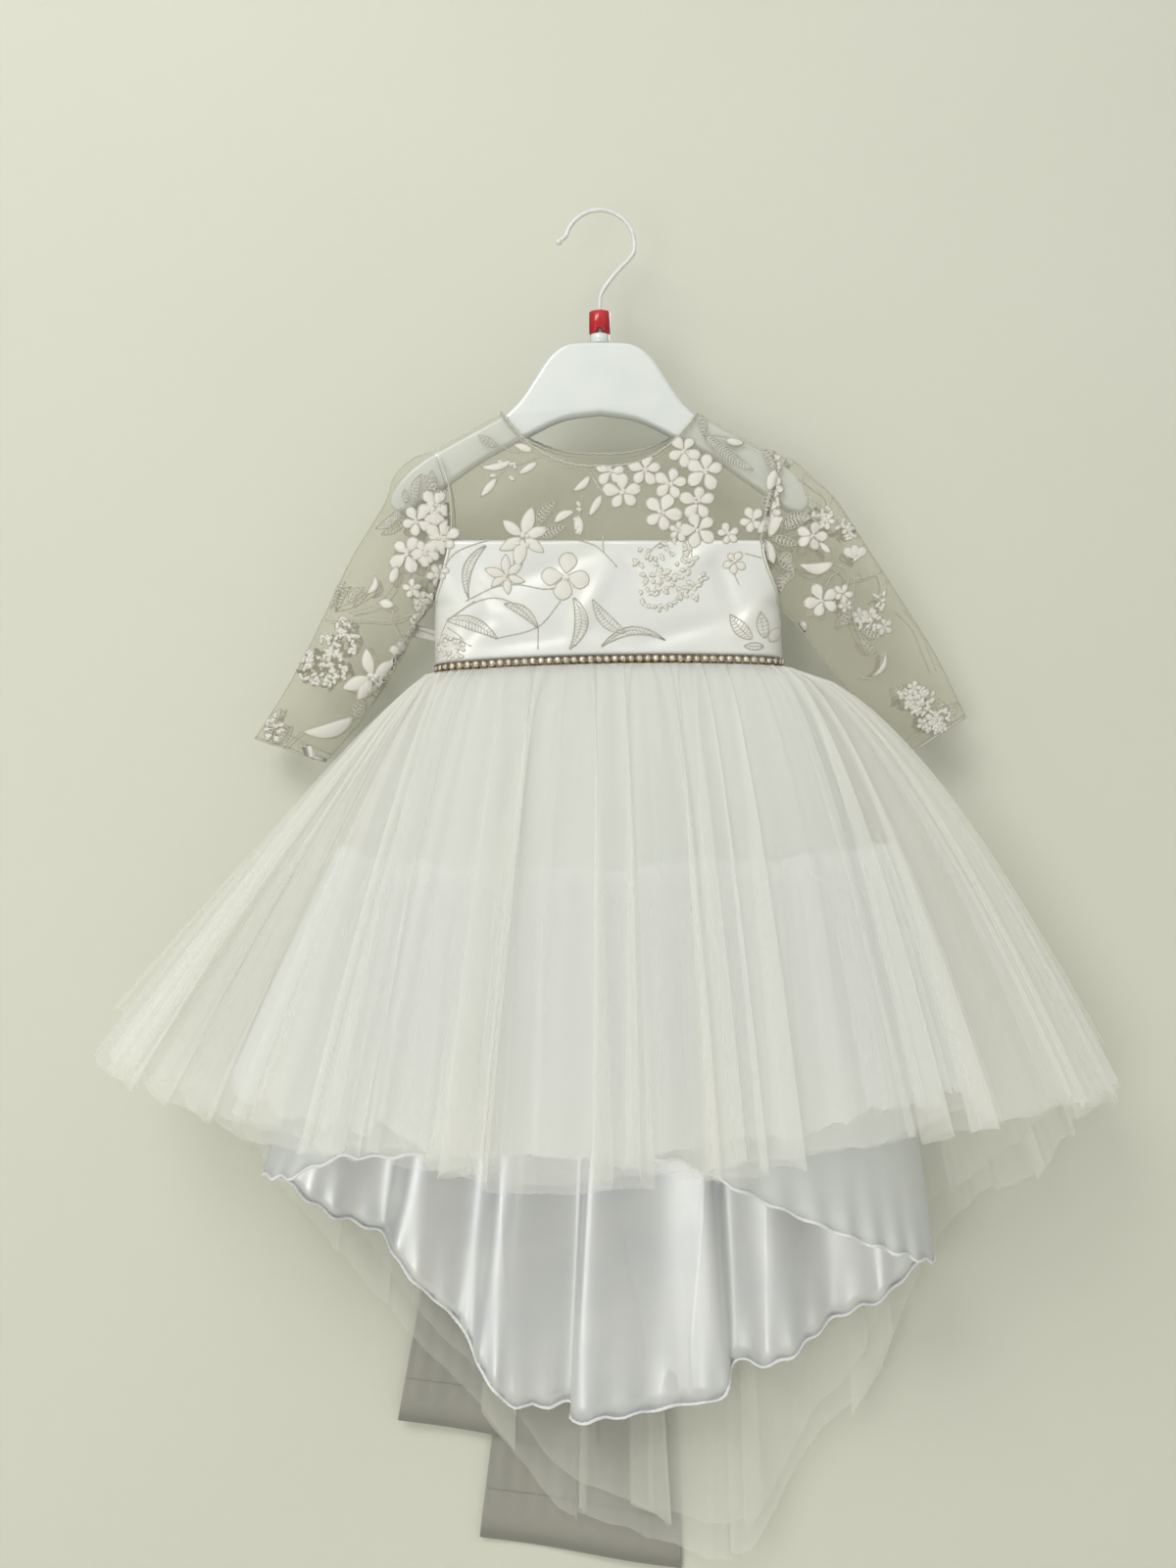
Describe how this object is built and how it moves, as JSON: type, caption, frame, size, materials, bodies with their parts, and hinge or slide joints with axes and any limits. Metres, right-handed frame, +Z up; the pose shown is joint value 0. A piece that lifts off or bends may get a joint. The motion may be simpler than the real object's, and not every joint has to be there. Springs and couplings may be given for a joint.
{
  "type": "christening gown on a hanger",
  "caption": "Baby's christening gown with sheer lace-trimmed yoke and sleeves, satin bodice, full tulle overskirt and long satin train, hung on a child's hanger.",
  "frame": {"origin": "the underside of the crest of the hanger's hook, where a rail or a peg carries it", "axes": "+Z up, the front of the gown faces -Y, +X towards the right of someone who looks at its front"},
  "size_m": [0.6716, 0.2044, 0.9391],
  "materials": {
    "hook_wire": "white powder-coated steel wire",
    "ring_plastic": "plain glossy red plastic",
    "hanger_plastic": "glossy white moulded plastic",
    "sheer_netting": "sheer ivory illusion netting with embroidered lace",
    "satin": "glossy ivory duchess satin",
    "cup_chain": "rhinestones in small metal cups",
    "tulle": "soft ivory tulle, several layers"
  },
  "bodies": {
    "root": {"hanger_hook": "hook_wire", "size_ring": "ring_plastic", "hanger_ferrule": "hanger_plastic", "hanger_body": "hanger_plastic", "yoke_front": "sheer_netting", "yoke_back": "sheer_netting", "bodice_front": "satin", "bodice_back": "satin", "waist_chain_front": "cup_chain", "waist_chain_back": "cup_chain", "sleeve_left": "sheer_netting", "sleeve_right": "sheer_netting", "overskirt_front": "tulle", "overskirt_back": "tulle", "petticoat_front": "tulle", "petticoat_back": "tulle", "underskirt_front": "satin", "underskirt_back": "satin", "sash_tail_left": "satin", "sash_tail_right": "satin"}
  },
  "joints": []
}
